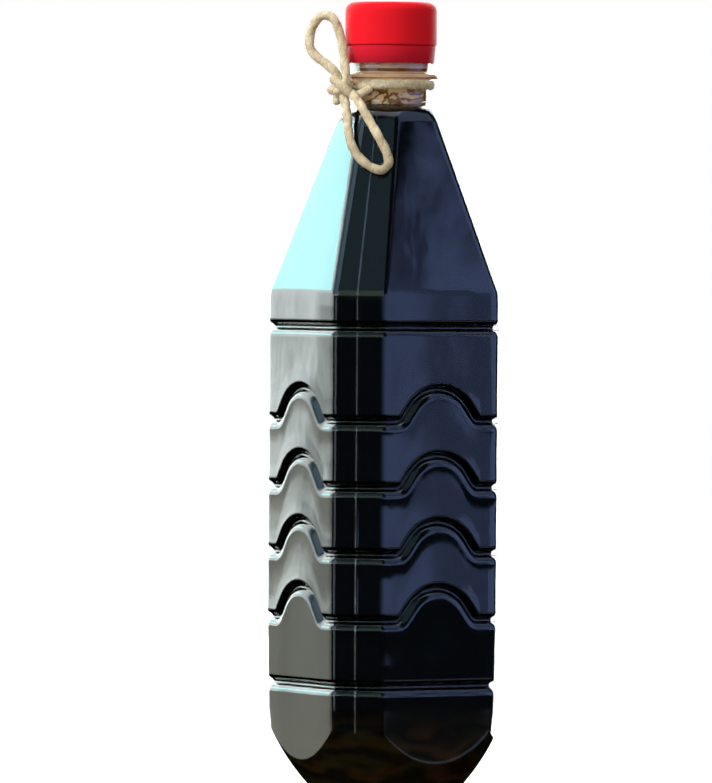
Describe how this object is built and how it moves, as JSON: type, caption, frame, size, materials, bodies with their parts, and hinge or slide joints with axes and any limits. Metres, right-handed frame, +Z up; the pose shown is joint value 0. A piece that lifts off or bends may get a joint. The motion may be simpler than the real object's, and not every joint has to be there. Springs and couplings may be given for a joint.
{
  "type": "pomegranate molasses bottle",
  "caption": "Tall square clear plastic bottle with grooved sides, full of dark pomegranate molasses, with a red screw cap and a twine bow at its neck.",
  "frame": {"origin": "middle of the foot, on the surface that the bottle stands on", "axes": "+Z up along the bottle's axis, +X and +Y square to its four flat sides; the bow is on the -X side, towards the corner between -X and -Y"},
  "size_m": [0.0674, 0.0674, 0.2638],
  "materials": {
    "clear_plastic": "clear blow-moulded PET plastic, glossy, with a faint mould line",
    "molasses": "thick, nearly black red-brown syrup",
    "red_plastic": "smooth bright red moulded plastic, satin gloss",
    "twine": "coarse two-ply jute twine, cream brown, slightly hairy"
  },
  "bodies": {
    "root": {"bottle": "clear_plastic", "molasses": "molasses", "cap": "red_plastic", "tamper_band": "red_plastic", "twine_knot": "twine", "twine_wrap": "twine", "twine_loop_up": "twine", "twine_loop_down": "twine", "twine_end_side": "twine", "twine_end_low": "twine"}
  },
  "joints": []
}
